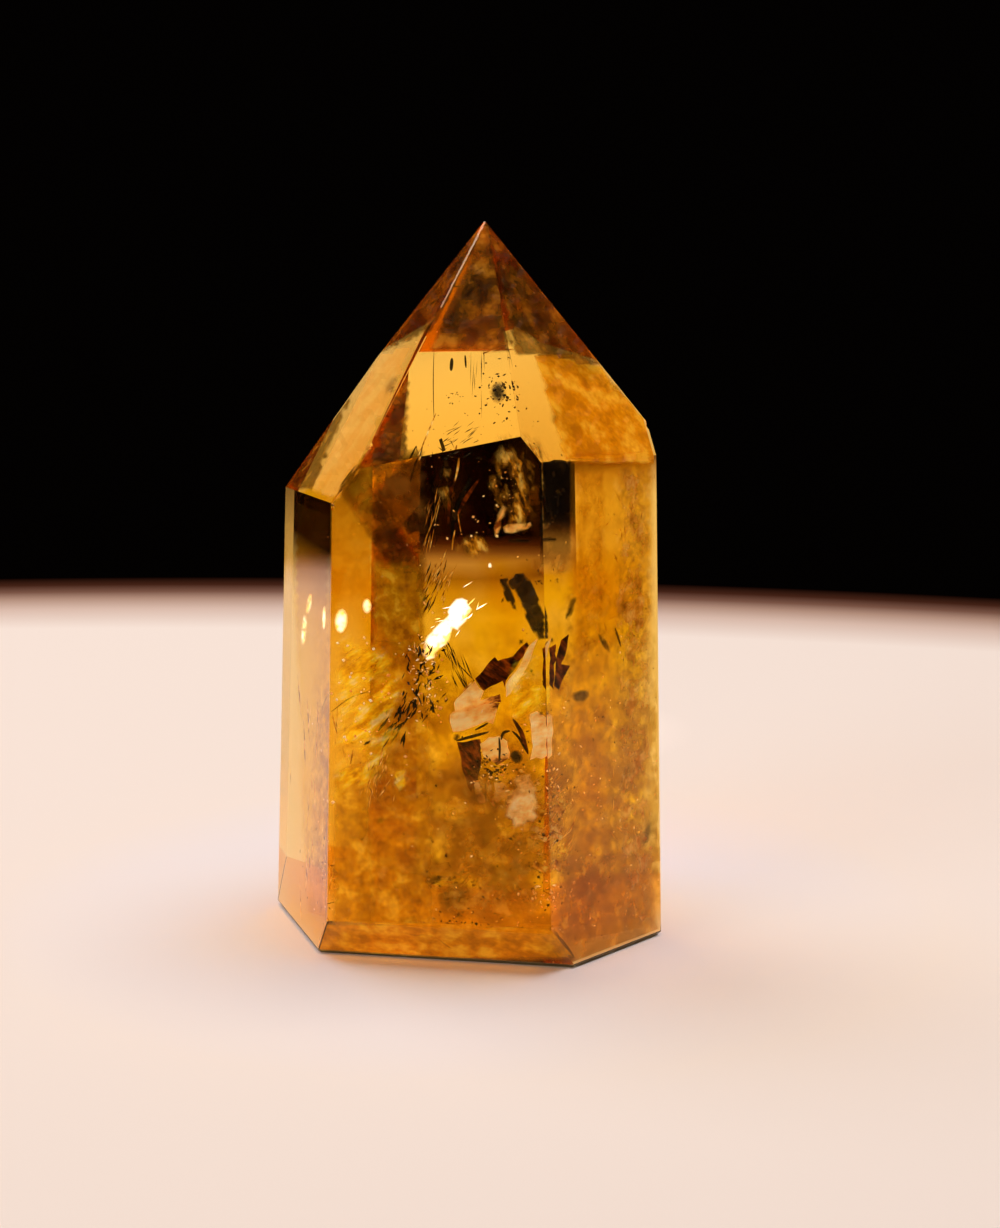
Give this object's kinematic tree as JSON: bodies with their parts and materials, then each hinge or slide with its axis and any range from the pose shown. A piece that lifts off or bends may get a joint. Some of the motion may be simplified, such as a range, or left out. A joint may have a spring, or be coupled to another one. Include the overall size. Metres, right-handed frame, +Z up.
{
  "type": "citrine crystal point",
  "caption": "Polished citrine point: a six-sided quartz prism that tapers to a faceted tip and stands on a ground flat foot.",
  "frame": {"origin": "middle of the foot's box, on the surface that the crystal stands on", "axes": "+Z up from the foot to the tip, -Y out of the broad front face, +X to the right seen from the front"},
  "size_m": [0.0498, 0.0546, 0.0899],
  "materials": {
    "citrine": "polished clear yellow-brown quartz with veils and cracks inside"
  },
  "bodies": {
    "root": {"crystal_point": "citrine"}
  },
  "joints": []
}
